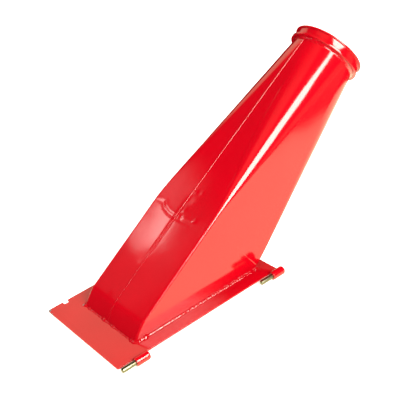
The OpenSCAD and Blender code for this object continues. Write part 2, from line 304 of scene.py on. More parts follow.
class BodyShape:
    """The chute's outer skin: rows across it, columns round it, metres from the plate's corner."""

    def __init__(self, s):
        self.s = s
        self.z0 = s.plate_thickness
        self.half = s.mouth_width / 2
        self.mid = s.hinge_strip + self.half
        self.seam = self.mid + s.seam_offset
        self.front = np.array([s.front_strip, self.z0])
        self.back = np.array([s.front_strip + s.mouth_length, self.z0])
        self.toe = self.front + [s.toe_run, s.toe_rise]
        self.crease = np.array([s.crease_along, s.crease_height])
        self.ring = np.array([s.round_along, s.round_height])
        self.ax = np.array([math.cos(s.tilt), math.sin(s.tilt)])
        self.up = np.array([-self.ax[1], self.ax[0]])
        self.low = self.ring - s.round_radius * self.up
        self.pivot = self.crease + self.up * (self.z0 - self.crease[1]) / self.up[1]

    def front_bend(self):
        """Directions before and after the bend near the foot, its angle, and both straights."""
        a = unit(self.toe - self.front)
        b = unit(self.crease - self.toe)
        turn = math.acos(np.clip(a @ b, -1, 1))
        cut = self.s.toe_bend * math.tan(turn / 2)
        straights = [np.linalg.norm(p) - cut for p in (self.toe - self.front, self.crease - self.toe)]
        return a, b, turn, *straights

    def front_run(self, t):
        """Point at distance t up the front: straight to the bend, round it on its arc, straight on."""
        a, b, turn, first, _ = self.front_bend()
        radius = self.s.toe_bend
        inward = np.array([a[1], -a[0]])
        hub = self.front + first * a + radius * inward
        swing = np.clip(t - first, 0, radius * turn) / radius
        on_arc = hub + radius * (-np.cos(swing)[:, None] * inward + np.sin(swing)[:, None] * a)
        past = np.clip(t - first - radius * turn, 0, None)
        return np.where((t < first)[:, None], self.front + t[:, None] * a, on_arc + past[:, None] * b)

    def front_length(self):
        """The two straights and the arc between them."""
        _, _, turn, first, last = self.front_bend()
        return first + self.s.toe_bend * turn + last

    def sections(self):
        """Every row's start, direction, corner depths, half widths and corner radii.

        Below the crease the rows fan about a pivot behind the mouth. Above it they are square
        to the round end's axis, and everything changes evenly from the crease and the mouth's
        back corner to the ring, as on a transition bent from four flats and four cones.
        """
        s = self.s
        t = np.linspace(0, 1, LOW_ROWS, endpoint=False)
        t = (1 - LOW_CROWDING) * t + LOW_CROWDING * t * (2 - t)
        start = self.front_run(t * self.front_length())
        way = unit(self.pivot - start)
        wall = unit(self.low - self.back)
        gap = self.back - start
        slant = way[:, 0] * wall[1] - way[:, 1] * wall[0]
        depth = (gap[:, 0] * wall[1] - gap[:, 1] * wall[0]) / slant
        low = dict(start=start, way=way, top=np.zeros(LOW_ROWS), bottom=depth,
                   wide_top=np.full(LOW_ROWS, self.half), wide_bottom=np.full(LOW_ROWS, self.half),
                   r_top=np.full(LOW_ROWS, s.bend), r_bottom=np.full(LOW_ROWS, s.bend))
        d1, v1 = (self.crease - self.ring) @ self.ax, (self.crease - self.ring) @ self.up
        d2, v2 = (self.back - self.ring) @ self.ax, (self.back - self.ring) @ self.up
        u = np.linspace(0, 1, HIGH_ROWS)
        d = d1 * (1 - ((1 - HIGH_CROWDING) * u + HIGH_CROWDING * u * u))
        d[-1] = 0.0
        t1, t2 = 1 - d / d1, 1 - d / d2
        start = self.ring + d[:, None] * self.ax
        pull = self.half - s.round_radius
        high = dict(start=start, way=np.repeat(-self.up[None], HIGH_ROWS, 0),
                    top=-(v1 + t1 * (s.round_radius - v1)),
                    bottom=-(v2 + t2 * (-s.round_radius - v2)),
                    wide_top=self.half - pull * t1, wide_bottom=self.half - pull * t2,
                    r_top=s.round_radius * self.eased(t1), r_bottom=s.round_radius * self.eased(t2))
        return {k: np.concatenate([low[k], high[k]]) for k in low}

    def eased(self, t):
        """The larger of t and the bend radius's share, joined by a parabola where the two cross."""
        a = self.s.bend / self.s.round_radius
        w = a * 0.8
        blend = (t + a) / 2 + (t - a) ** 2 / (4 * w) + w / 4
        return np.where(t > a + w, t, np.where(t < a - w, a, blend))

    def loops(self):
        """Half of each section, from the middle of the front, down the side, to the middle of the back.

        A flat, a quarter circle, a straight side, a quarter circle and a flat: depth and half
        width are worked out for each, with the sine and cosine of the turn on the quarters.
        """
        c = {k: (v[:, None] if v.ndim == 1 else v) for k, v in self.sections().items()}
        q = np.linspace(0, 1, STRETCH_POINTS)[None, :]
        turn = q * math.pi / 2
        wt, wb, rt, rb = c["wide_top"], c["wide_bottom"], c["r_top"], c["r_bottom"]
        top, bottom = c["top"], c["bottom"]
        none = 0 * q + 0 * wt
        parts = [
            (top + none, (wt - rt) * q, none),
            (top + rt * (1 - np.cos(turn)), wt - rt + rt * np.sin(turn), turn + none),
            ((top + rt) * (1 - q) + (bottom - rb) * q, wt * (1 - q) + wb * q, none + math.pi / 2),
            (bottom - rb * (1 - np.sin(turn)), wb - rb + rb * np.cos(turn), turn + math.pi / 2 + none),
            (bottom + none, (wb - rb) * (1 - q), none + math.pi),
        ]
        depth, wide, turned = (
            np.concatenate([parts[0][k]] + [p[k][:, 1:] for p in parts[1:]], 1) for k in range(3))
        flat = c["start"][:, None, :] + depth[..., None] * c["way"][:, None, :]
        return flat, wide, turned

    def half_skin(self, far):
        """Points on one side of the seams, spread by length plus a share of the turn.

        The whole round is laid out one and a half times, so that the back seam is found again
        past the near side.
        """
        flat, wide, turned = self.loops()
        far_up = np.stack([flat[..., 0], self.mid + wide, flat[..., 1]], -1)[:, ::-1]
        near_down = np.stack([flat[..., 0], self.mid - wide, flat[..., 1]], -1)[:, 1:]
        whole = np.concatenate([far_up, near_down, far_up[:, 1:]], 1)
        turn = np.concatenate([-turned[:, ::-1], turned[:, 1:], TAU - turned[:, ::-1][:, 1:]], 1)
        step = np.linalg.norm(np.diff(whole, axis=1), axis=-1)
        on_front = np.abs(turn[:, 1:]) < FRONT_TURN
        fine = 1 + SEAM_CROWDING * on_front * hump(whole[:, 1:, 1], self.seam, SEAM_REACH)
        along = np.cumsum(step * fine + TURN_LENGTH * np.abs(np.diff(turn, axis=1)), 1)
        along = np.concatenate([np.zeros((len(along), 1)), along], 1)
        n = flat.shape[1]
        top_at = self.crossing(whole[:, :n, 1][:, ::-1], along[:, :n][:, ::-1])
        low_at = self.crossing(whole[:, :n, 1], along[:, :n])
        again = low_at + along[:, whole.shape[1] - n]
        a, b = (low_at, top_at) if far else (top_at, again)
        u = a[:, None] + (b - a)[:, None] * np.linspace(0, 1, COLUMNS)[None, :]
        grid = self.resampled(whole, along, u)
        grid[:, [0, -1], 1] = self.seam
        return grid if not far else grid[:, ::-1]

    def crossing(self, y, along):
        """Where a row going out from the middle first passes the seam's plane."""
        k = np.argmax(y > self.seam, axis=1)
        r = np.arange(len(y))
        y0, y1 = y[r, k - 1], y[r, k]
        w = (self.seam - y0) / (y1 - y0)
        return along[r, k - 1] * (1 - w) + along[r, k] * w

    def resampled(self, points, along, u):
        """Straight-line interpolation of every row at once, each row shifted to its own range."""
        rows, n = along.shape
        big = along.max() * 2 + 1
        shift = np.arange(rows)[:, None] * big
        at = np.searchsorted((along + shift).ravel(), (u + shift).ravel(), side="right")
        r = np.repeat(np.arange(rows), u.shape[1])
        k = np.clip(at - r * n, 1, n - 1)
        a0, a1 = along[r, k - 1], along[r, k]
        w = ((u.ravel() - a0) / np.maximum(a1 - a0, 1e-12))[:, None]
        return (points[r, k - 1] * (1 - w) + points[r, k] * w).reshape(rows, u.shape[1], 3)

    def normals(self, grid):
        """Cross product of the differences along the columns and along the rows."""
        return unit(np.cross(np.gradient(grid, axis=0), np.gradient(grid, axis=1)))


def away_from_line(points, line):
    """Distance of each point from a chain of straight pieces, and its side of the nearest piece.

    The side is the sign of the cross product of the piece with the way to the point, seen
    from above.
    """
    best = np.full(points.shape[:-1], np.inf)
    side = np.zeros(points.shape[:-1])
    for a, b in zip(line[:-1], line[1:]):
        ab = b - a
        t = np.clip(((points - a) @ ab) / (ab @ ab), 0, 1)
        off = points - (a + t[..., None] * ab)
        d = np.linalg.norm(off, axis=-1)
        cross = ab[0] * off[..., 1] - ab[1] * off[..., 0]
        side = np.where(d < best, np.sign(cross), side)
        best = np.minimum(best, d)
    return best, side


# Marks of the maker's hand on the front, as places from the plate's corner: a faint fold on
# the near side above the crease, and a curved pucker across the front just below it
FOLD = np.array([
    (0.334, 0.053, 0.190), (0.395, 0.060, 0.227), (0.443, 0.078, 0.257), (0.497, 0.091, 0.290),
    (0.543, 0.099, 0.318), (0.565, 0.102, 0.332), (0.627, 0.112, 0.369)])
PUCKER = np.array([
    (0.2984, 0.2216, 0.1684), (0.2992, 0.1988, 0.1689), (0.2906, 0.1863, 0.1634),
    (0.2852, 0.1645, 0.1600), (0.2838, 0.1426, 0.1591), (0.2839, 0.1129, 0.1591),
    (0.2850, 0.0874, 0.1598), (0.2926, 0.0739, 0.1646)])
# Place, height and width of each dimple, with a height below nought where it goes in
DIMPLES = (
    ((0.3415, 0.1307, 0.1948), 0.0005, 0.0045), ((0.3436, 0.1129, 0.1961), 0.0003, 0.0050),
    ((0.322, 0.133, 0.1830), -0.0004, 0.010), ((0.302, 0.128, 0.1707), 0.0004, 0.007),
    ((0.110, 0.168, 0.048), 0.0005, 0.008), ((0.172, 0.150, 0.087), 0.0003, 0.012),
    ((0.291, 0.082, 0.163), 0.0004, 0.006), ((0.287, 0.124, 0.162), -0.0004, 0.005))


def sheet_waves(x, y, z):
    """Four long sine waves, two of them multiplied together, for sheet that was rolled by hand."""
    return (np.sin(x * 33 + 1.1 + y * 9) * np.sin(y * 41 - x * 6 + 0.6)
            + 0.6 * np.sin(x * 61 - y * 23 + 2.0) + 0.35 * np.sin(z * 83 + y * 37))


# How far the seam lifts the sheet, and the place, width and depth of the grooves beside its weld
ROOF_REACH, GROOVE_AWAY, GROOVE_WIDE, GROOVE_DEPTH = 0.09, 0.0034, 0.0022, 0.00030


def seam_marks(shape, x, y):
    """Height of a low roof whose ridge is the seam, and depth of a groove each side of the weld."""
    from_seam = np.abs(y - shape.seam)
    roof = shape.s.seam_lift * np.clip(1 - from_seam / ROOF_REACH, 0, 1) * smooth(0.43, 0.25, x)
    groove = hump(from_seam, GROOVE_AWAY, GROOVE_WIDE) * smooth(0.19, 0.22, x) * smooth(0.325, 0.300, x)
    return roof, GROOVE_DEPTH * groove


def creases(points):
    """The fold and the pucker: a bell on one side of each line and a hollow on the other."""
    x, y = points[..., 0], points[..., 1]
    off, side = away_from_line(points, FOLD)
    shown = smooth(0.34, 0.40, x) * smooth(0.625, 0.58, x)
    fold = 0.00035 * shown * (hump(off, 0, 0.0026) - 0.5 * hump(off * side, 0.0055, 0.0035))
    off, side = away_from_line(points, PUCKER)
    shown = smooth(0.07, 0.085, y) * smooth(0.232, 0.205, y)
    deep = 0.35 + 0.65 * hump(y, 0.165, 0.045)
    ridge, hollow = hump(off * side, 0.0045, 0.0050), hump(off * side, -0.0025, 0.0040)
    return fold + shown * (0.00030 * ridge - 0.00045 * deep * hollow)


def dimples(points):
    """A bell round each place in three dimensions, as high and as wide as its row says."""
    return sum(high * np.exp(-((points - place) ** 2).sum(-1) / wide ** 2)
               for place, high, wide in DIMPLES)


def hand_marks(shape, points, normal):
    """How far the real sheet stands off the ideal one, outwards.

    Waves go over the whole sheet; the seam's ridge and grooves, the creases and the dimples
    are on the front only, which is where the normal points forwards. The waves and the ridge
    fade to nought at both ends.
    """
    x, y, z = points[..., 0], points[..., 1], points[..., 2]
    front = smooth(0.25, 0.6, -normal[..., 0])
    ends = smooth(0.0, 0.03, z - shape.z0) * smooth(0.0, 0.05, shape.ring[0] - x)
    roof, groove = seam_marks(shape, x, y)
    on_front = ends * roof - groove + creases(points) + dimples(points)
    return 0.6 * shape.s.ripple * ends * sheet_waves(x, y, z) + front * on_front


def tube_frame(shape):
    """Origin and axes of the round end: along the axis, up across it, and across the chute."""
    origin = np.array([shape.ring[0], shape.mid, shape.ring[1]])
    along = np.array([shape.ax[0], 0, shape.ax[1]])
    up = np.array([shape.up[0], 0, shape.up[1]])
    return origin, along, up, np.array([0.0, 1.0, 0.0])


def turned(profile, origin, along, up, across, steps, offset=None):
    """A closed profile of distances and radii carried round an axis.

    A point is the origin, plus the distance along the axis, plus the radius times the cosine
    of the turn upwards and its sine across. offset adds to the radius.
    """
    a = np.arange(steps)[:, None] / steps * TAU
    d, r = profile[None, :, 0] + 0 * a, profile[None, :, 1] + 0 * a
    if offset is not None:
        r = r + offset(a, profile[None, :, 0], profile[None, :, 1])
    return (origin + d[..., None] * along
            + r[..., None] * (np.cos(a)[..., None] * up + np.sin(a)[..., None] * across))


def rounded_profile(corners, steps=6):
    """A closed polygon whose corners (distance, radius, rounding) are replaced by arcs."""
    p = np.array([c[:2] for c in corners], float)
    out = []
    n = len(p)
    for i, (_, _, r) in enumerate(corners):
        a, b = unit(p[i - 1] - p[i]), unit(p[(i + 1) % n] - p[i])
        if r <= 0:
            out.append(p[i][None])
            continue
        half = math.acos(np.clip(a @ b, -1, 1)) / 2
        hub = p[i] + unit(a + b) * r / math.sin(half)
        start = p[i] + a * r / math.tan(half) - hub
        end = p[i] + b * r / math.tan(half) - hub
        t = np.linspace(0, 1, steps)[:, None]
        out.append(hub + unit(start * (1 - t) + end * t) * r)
    return np.concatenate(out)


def swept(path, side, rise, section, caps=True):
    """A closed section carried along a path.

    A point is the path's, plus the section's first number times side and its second times
    rise. The section may differ at each step, and with caps each end closes on its middle.
    """
    grid = (path[:, None, :] + section[..., 0:1] * side[:, None, :]
            + section[..., 1:2] * rise[:, None, :])
    if caps:
        first = np.repeat(grid[:1].mean(1, keepdims=True), grid.shape[1], 1)
        last = np.repeat(grid[-1:].mean(1, keepdims=True), grid.shape[1], 1)
        grid = np.concatenate([first, grid, last], 0)
    return grid


# ---- finishes -----------------------------------------------------------------------------

class Value:
    """One output in a node tree. Python's operators on it add Math nodes."""

    def __init__(self, nodes, socket):
        self.nodes, self.socket = nodes, socket

    def maths(self, operation, *values):
        return self.nodes.add("ShaderNodeMath", {"operation": operation}, dict(enumerate(values)))

    def __add__(self, other): return self.maths("ADD", self, other)
    def __radd__(self, other): return self.maths("ADD", other, self)
    def __sub__(self, other): return self.maths("SUBTRACT", self, other)
    def __rsub__(self, other): return self.maths("SUBTRACT", other, self)
    def __mul__(self, other): return self.maths("MULTIPLY", self, other)
    def __rmul__(self, other): return self.maths("MULTIPLY", other, self)
    def __truediv__(self, other): return self.maths("DIVIDE", self, other)
    def __rtruediv__(self, other): return self.maths("DIVIDE", other, self)
    def clipped(self): return self.maths("MINIMUM", self.maths("MAXIMUM", self, 0.0), 1.0)
    def larger(self, other): return self.maths("MAXIMUM", self, other)


class Nodes:
    """A node tree, emptied to be filled anew."""

    def __init__(self, tree):
        self.tree = tree
        tree.nodes.clear()

    def add(self, kind, settings=None, inputs=None, out=0):
        """A node of that type: its settings first, then the value or the link of each socket."""
        node = self.tree.nodes.new(kind)
        for key, value in (settings or {}).items():
            setattr(node, key, value)
        for key, value in (inputs or {}).items():
            if isinstance(value, Value):
                self.tree.links.new(value.socket, node.inputs[key])
            else:
                node.inputs[key].default_value = value
        return Value(self, node.outputs[out]) if len(node.outputs) else None

    def shown(self, surface, output="ShaderNodeOutputMaterial"):
        """The surface that the tree gives."""
        self.add(output, inputs={"Surface": surface})


class Finish(Nodes):
    """A material and the nodes it is made of, with place its Object coordinates."""

    def __init__(self, name):
        self.material = bpy.data.materials.new(name)
        self.material.use_nodes = True
        super().__init__(self.material.node_tree)
        self.place = self.add("ShaderNodeTexCoord", out="Object")

    def noise(self, scale, detail=2.0, roughness=0.5, stretch=None):
        where = self.place
        if stretch:
            where = self.add("ShaderNodeMapping", inputs={"Vector": where, "Scale": stretch})
        return self.add("ShaderNodeTexNoise", inputs={
            "Vector": where, "Scale": scale, "Detail": detail, "Roughness": roughness})

    def mixed(self, amount, a, b):
        """Colour a where amount is nought and colour b where it is one."""
        a, b = (c if isinstance(c, Value) else (*c, 1.0) for c in (a, b))
        return self.add("ShaderNodeMix", {"data_type": "RGBA"}, {0: amount, 6: a, 7: b}, out=2)

    def near(self, point, radius):
        """One at a point measured from the plate's corner, falling evenly to nought at the radius."""
        away = self.add("ShaderNodeVectorMath", {"operation": "DISTANCE"},
                        {0: self.place, 1: PLATE_CORNER + Vector(point)}, out="Value")
        return (1.0 - away / radius).clipped()

    def glowing(self, tint, strength):
        return self.add("ShaderNodeEmission", inputs={"Color": (*tint, 1), "Strength": strength})

    def finish(self, one_sided=False, **sockets):
        """Principled surface from its sockets' values; a one-sided one is clear from behind."""
        surface = self.add("ShaderNodeBsdfPrincipled", inputs={
            k.replace("_", " "): v for k, v in sockets.items()})
        if one_sided:
            behind = self.add("ShaderNodeNewGeometry", out="Backfacing")
            clear = self.add("ShaderNodeBsdfTransparent")
            surface = self.add("ShaderNodeMixShader", inputs={0: behind, 1: surface, 2: clear})
        self.shown(surface)
        return self.material


def paint_finish(name, f, chips=(), ripple=0.0, grime=0.0, coat=0.0):
    """Glossy enamel: slow changes of tone, a fine skin, a slow wave, grime specks and chips.

    ripple adds a coarse bump for paint over weld, and chips is a list of places and radii
    where ragged spots of bare steel show.
    """
    m = Finish(name)
    slow = m.noise(7.0, 3.0)
    fine = m.noise(60.0, 4.0, 0.6)
    tone = ((slow - 0.5) * 1.3 + (fine - 0.5) * 0.25 + 0.22).clipped()
    base = m.mixed(tone, f.paint, f.paint_deep)
    specks = ((m.noise(420.0, 2.0) - 0.74) * 14.0).clipped() * (0.35 + grime)
    base = m.mixed(specks, base, f.grime)
    roughness = f.gloss + (fine - 0.4) * 0.05 + specks * 0.25
    height = m.noise(900.0, 1.0) * 0.12 + m.noise(26.0, 2.0) * 1.0
    if ripple:
        height = height + m.noise(240.0, 3.0, 0.6) * ripple
    if chips:
        spots = []
        for point, radius in chips:
            ragged = m.near(point, radius) + (m.noise(900.0, 3.0) - 0.5) * 0.9
            spots.append(((ragged - 0.35) * 9.0).clipped())
        bare = functools.reduce(Value.larger, spots)
        base = m.mixed(bare, base, f.steel)
        roughness = roughness + bare * 0.35
        height = height - bare * 0.8
    bump = m.add("ShaderNodeBump", inputs={"Strength": 0.35, "Distance": 0.00025, "Height": height})
    return m.finish(Base_Color=base, Roughness=roughness.clipped(), Normal=bump, IOR=1.6,
                    Coat_Weight=coat, Coat_Roughness=0.03)


def zinc_finish(name, f):
    """Yellowish zinc plate: metal with cloudy tone and fine turning marks along the pin."""
    m = Finish(name)
    cloud = m.noise(160.0, 3.0)
    base = m.mixed((cloud * 1.6 - 0.4).clipped(), f.zinc, f.zinc_dull)
    lines = m.noise(500.0, 2.0, stretch=(1.0, 0.02, 0.02))
    bump = m.add("ShaderNodeBump", inputs={"Strength": 0.12, "Distance": 0.0001, "Height": lines})
    roughness = (0.24 + cloud * 0.16).clipped()
    return m.finish(Base_Color=base, Metallic=1.0, Roughness=roughness, Normal=bump)


def finish_of(key):
    """The material of that name, made on first use."""
    made = bpy.data.materials.get(key)
    if made:
        return made
    f = bpy.context.scene.chute_finish
    if key == "zinc_plating":
        return zinc_finish(key, f)
    if key == "plate_enamel":
        return paint_finish(key, f, chips=[
            ((0.001, 0.279, 0.003), 0.010), ((0.0, 0.262, 0.003), 0.004),
            ((0.066, 0.234, 0.003), 0.005)])
    if key == "weld_enamel":
        return paint_finish(key, f, ripple=8.0, grime=0.25, coat=1.0)
    return paint_finish(key, f)


# ---- pieces -------------------------------------------------------------------------------

def body_shape():
    return BodyShape(bpy.context.scene.chute_body)


def half_surface(shape, far):
    """Outer points of a half with its hand marks, the inner points a sheet inside, and normals.

    At the foot and at the round end the inner points slide along the sheet to the plate's
    top and to the round end's plane, so that both ends are cut flat.
    """
    ideal = shape.half_skin(far)
    normal = shape.normals(ideal)
    if np.sum((ideal[..., 1] - shape.mid) * normal[..., 1]) < 0:
        normal = -normal
    outer = ideal + normal * hand_marks(shape, ideal, normal)[..., None]
    outer[[0, -1]] = ideal[[0, -1]]
    outer[:, [0, -1], 1] = shape.seam
    inner = outer - normal * shape.s.sheet
    way = unit(outer[0] - outer[1])
    inner[0] += way * ((shape.z0 - inner[0, :, 2]) / way[:, 2])[:, None]
    way = unit(outer[-1] - outer[-2])
    ring, axis, _, _ = tube_frame(shape)
    inner[-1] += way * (((ring - inner[-1]) @ axis) / (way @ axis))[:, None]
    inner[:, [0, -1], 1] = shape.seam
    return outer, inner, normal


class CHUTE_OT_half_shells(bpy.types.Operator):
    """Form the two half shells of the chute's body"""
    bl_idname = "chute.half_shells"
    bl_label = "Half shells"

    def execute(self, context):
        shape = body_shape()
        for name, far in (("near_half_shell_skin", False), ("far_half_shell_skin", True)):
            outer, inner, _ = half_surface(shape, far)
            rows, cols = outer.shape[:2]
            n = rows * cols
            skin = grid_faces(rows, cols)
            top, left = np.arange(cols - 1), np.arange(rows - 1) * cols
            rims = [
                np.stack([top + 1, top, top + n, top + 1 + n], -1),
                np.stack([top, top + 1, top + 1 + n, top + n], -1) + n - cols,
                np.stack([left, left + cols, left + cols + n, left + n], -1),
                np.stack([left + cols, left, left + n, left + cols + n], -1) + cols - 1,
            ]
            faces = [skin, skin[:, ::-1] + n, *rims]
            make_piece(name, np.concatenate([outer.reshape(-1, 3), inner.reshape(-1, 3)]), faces,
                       finish_of("sheet_enamel"), [name.replace("_skin", "")])
        return {"FINISHED"}


# Height and half width of a seam weld where it was ground down, and what a rough one has more
GROUND_HIGH, GROUND_WIDE = 0.00042, 0.0009
ROUGH_HIGH, ROUGH_WIDE = 0.0003, 0.0005
# Distance along the front seam over which the ground weld turns rough
ROUGH_FROM, ROUGH_TO = 0.24, 0.30


def seam_bead(path, rise, seed, all_rough):
    """A low half-round ridge: half width times cosine and height times sine of half a turn.

    Both have seeded unevenness, and the ridge starts and stops a little short of the seam's ends.
    """
    short, step = 0.003, 0.0012
    along = travelled(path)
    at = np.arange(short, along[-1] - short, step)
    path = picked(at, along, path)
    rise = unit(picked(at, along, rise))
    rough = np.ones_like(at) if all_rough else smooth(ROUGH_FROM, ROUGH_TO, at)
    high = GROUND_HIGH + ROUGH_HIGH * rough + 0.00010 * grain(at / 0.006, 3 + seed)
    wide = GROUND_WIDE + ROUGH_WIDE * rough + 0.00012 * grain(at / 0.009, 5 + seed)
    high *= smooth(0, 0.006, at) * smooth(at[-1] + 0.001, at[-1] - 0.005, at) + 0.05
    turn = np.linspace(0, math.pi, 9)
    arc = np.stack([wide[:, None] * np.cos(turn), high[:, None] * np.sin(turn)], -1)
    under = np.stack([wide[:, None] * [-0.9, 0.9], np.full((len(at), 2), -BEDDING)], -1)
    side = np.repeat([[0.0, 1.0, 0.0]], len(at), 0)
    return swept(path, side, rise, np.concatenate([arc, under], 1))


class CHUTE_OT_seam_welds(bpy.types.Operator):
    """Lay the ground-down welds along the front and back seams"""
    bl_idname = "chute.seam_welds"
    bl_label = "Seam welds"

    def execute(self, context):
        outer, _, normal = half_surface(body_shape(), False)
        for which, column, seed in (("front", 0, 0), ("back", -1, 1)):
            rise = unit(normal[1:, column] * [1, 0, 1])
            grid = seam_bead(outer[1:, column], rise, seed, all_rough=which == "back")
            make_piece(f"{which}_seam_bead", grid, [grid_faces(*grid.shape[:2], wrap_cols=True)],
                       finish_of("weld_enamel"), [f"{which}_seam_weld"])
        return {"FINISHED"}


# Lumps of the base weld: place along and across from the plate's corner, size and width
BASE_LUMPS = (
    (0.0905, 0.036, 0.0040, 0.0055), (0.0745, 0.036, 0.0032, 0.0035), (0.064, 0.1516, 0.0032, 0.006),
    (0.066, 0.1175, 0.0014, 0.006), (0.066, 0.0501, 0.0022, 0.004), (0.066, 0.211, 0.0022, 0.004),
    (0.068, 0.228, 0.0026, 0.004), (0.397, 0.037, 0.0018, 0.006))


# Leg of the base weld along the sides and along the front
SIDE_LEG, FRONT_LEG = 0.0040, 0.0021
# Where the near side's second run takes over, the length of its steps, and their height
SECOND_RUN, STEP_LENGTH, STEP_HEIGHT = 0.200, 0.0105, 0.0026


def base_weld_legs(at, x, y):
    """How far the base weld reaches over the plate and up the wall, at a distance round the foot.

    Seeded unevenness on an even leg. The near side's second run is rougher, with steps as
    high as the sine of a wandering distance, and a dip parts it from the first run. A lump
    is a bell round its place.
    """
    is_near = smooth(0.050, 0.040, y)
    is_front = smooth(0.072, 0.069, x) * (1 - is_near)
    second_run = smooth(SECOND_RUN - 0.004, SECOND_RUN + 0.004, x) * is_near
    leg = SIDE_LEG + 0.0004 * grain(at / 0.021, 11)
    leg = leg * (1 - is_front) + is_front * (FRONT_LEG + 0.0006 * grain(at / 0.013, 12))
    leg += (0.0002 + 0.0003 * second_run) * grain(at / 0.021, 13, 2) * (1 - is_front * 0.6)
    steps = np.abs(np.sin(math.pi * (at / STEP_LENGTH + 0.45 * grain(at / 0.023, 14, 2))))
    leg += second_run * (STEP_HEIGHT * steps * (0.8 + 0.5 * grain(at / 0.013, 15, 2)) - 0.0014)
    for lump_x, lump_y, size, wide in BASE_LUMPS:
        leg += size * np.exp(-((x - lump_x) ** 2 + (y - lump_y) ** 2) / wide ** 2)
    leg *= 1 - 0.55 * hump(x, SECOND_RUN + 0.0005, 0.0042) * is_near
    up_wall = leg * (1 - 0.15 * is_front) * (1 + 0.55 * second_run * grain(at / 0.012, 16, 2))
    return leg, up_wall


def fillet_section(leg, up_wall):
    """A slightly bellied quarter round: the legs times powers of the cosine and the sine."""
    turn = np.linspace(0, math.pi / 2, 11)
    belly = 1 + 0.10 * np.sin(2 * turn)
    bow = np.stack([leg[:, None] * np.cos(turn) ** 1.25 * belly,
                    up_wall[:, None] * np.sin(turn) ** 1.25 * belly], -1)
    toe = np.stack([leg * 0.98, np.full_like(leg, -0.0004)], -1)[:, None]
    head = np.stack([np.full_like(leg, -0.0005), up_wall * 0.98], -1)[:, None]
    under = np.full((len(leg), 1, 2), -BEDDING)
    return np.concatenate([toe, bow, head, under], 1)


class CHUTE_OT_base_weld(bpy.types.Operator):
    """Lay the fillet weld round the foot of the body"""
    bl_idname = "chute.base_weld"
    bl_label = "Base weld"

    def execute(self, context):
        shape = body_shape()
        near, far = half_surface(shape, False)[0], half_surface(shape, True)[0]
        foot, lifted = (
            np.concatenate([near[row], far[row][::-1][1:-1], near[row][:1]]) for row in (0, 2))
        along = travelled(foot)
        at = np.arange(0, along[-1], 0.0011)
        path = picked(at, along, foot)
        rise = unit(picked(at, along, lifted) - path)
        side = unit(np.cross(np.roll(path, -2, 0) - np.roll(path, 2, 0), [0, 0, 1.0]))
        middle = [shape.front[0] + shape.s.mouth_length / 2, shape.mid, shape.z0]
        side *= np.sign(np.einsum("ij,ij->i", side, path - middle))[:, None]
        leg, up_wall = base_weld_legs(at, path[:, 0], path[:, 1])
        grid = swept(path, side, rise, fillet_section(leg, up_wall), caps=False)
        grid[..., 2] = np.maximum(grid[..., 2], shape.z0 - 0.0004)
        make_piece("base_weld_bead", grid, [grid_faces(*grid.shape[:2], True, True)],
                   finish_of("weld_enamel"),
                   ["near_base_weld", "far_base_weld", "front_base_weld", "back_base_weld"])
        return {"FINISHED"}


# Lumps of the weld behind the collar: degrees round from the top, size, and width in degrees
COLLAR_LUMPS = (
    (344, 0.0030, 4), (338, 0.0022, 3), (350, 0.0016, 3), (330, 0.0012, 4), (8, 0.0026, 3.5),
    (14, 0.0014, 4), (324, 0.0010, 5))


def collar_profile(c):
    """The collar cut along its axis: a lip at the body, the band and a lip at the mouth."""
    mouth = c.collar_length - c.mouth_lip
    return rounded_profile([
        (0.0, c.inner_radius, 0.0003), (0.0, c.lip_radius, c.edge), (c.body_lip, c.lip_radius, c.edge),
        (c.body_lip, c.band_radius, 0.0009), (mouth, c.band_radius, 0.0009),
        (mouth, c.lip_radius, c.edge), (c.collar_length, c.lip_radius, c.edge),
        (c.collar_length, c.bore_radius, 0.0006), (c.body_lip, c.bore_radius, 0.0004),
        (c.body_lip, c.inner_radius, 0.0004)])


# How far behind the collar its weld runs out, and where its lumps have their full size
COLLAR_BEAD_END, LUMPS_FULL = -0.0085, -0.003


def collar_bead_profile(r):
    """The weld behind the collar cut along the axis, running out flat over the body's radius r."""
    return rounded_profile([
        (BEDDING, r - 0.0008, 0), (BEDDING, r + 0.0036, 0.0004), (-0.0012, r + 0.0022, 0.001),
        (-0.0040, r + 0.0009, 0.0004), (-0.0062, r + 0.0004, 0), (COLLAR_BEAD_END, r + 0.0001, 0),
        (COLLAR_BEAD_END, r - 0.0008, 0)])


def collar_bead_lumps(body_radius):
    """What the weld's lumps add to its radius: seeded ripples round it and a bell for each lump.

    They fade out towards the weld's end and where it lies in the body.
    """
    def lumps(a, d, r):
        out = 0.00035 * grain(a * 22 / TAU * 3.5, 21) + 0.0004 * grain(a * 60 / TAU * 2, 22, 2)
        for at, size, wide in COLLAR_LUMPS:
            out = out + size * hump((np.degrees(a) - at + 180) % 360 - 180, 0, wide)
        above = smooth(body_radius - 0.0004, body_radius + 0.0004, r)
        return out * smooth(COLLAR_BEAD_END, LUMPS_FULL, d) * above
    return lumps


class CHUTE_OT_collar(bpy.types.Operator):
    """Turn the collar and lay the weld behind it"""
    bl_idname = "chute.collar"
    bl_label = "Collar"

    def execute(self, context):
        c = context.scene.chute_collar
        place = tube_frame(body_shape())
        grid = turned(collar_profile(c), *place, 256)
        make_piece("collar_ring", grid, [grid_faces(*grid.shape[:2], True, True)],
                   finish_of("collar_enamel"), ["collar"])
        body_radius = c.inner_radius + 0.002
        grid = turned(collar_bead_profile(body_radius), *place, 420, collar_bead_lumps(body_radius))
        make_piece("collar_bead", grid, [grid_faces(*grid.shape[:2], True, True)],
                   finish_of("weld_enamel"), ["collar_weld"])
        return {"FINISHED"}


# Gaps between a pin and its barrel: round the shank, at the shoulder and at the hole's end
SHANK_GAP, SHOULDER_GAP, HOLE_END_GAP = 0.00005, 0.0002, 0.0001


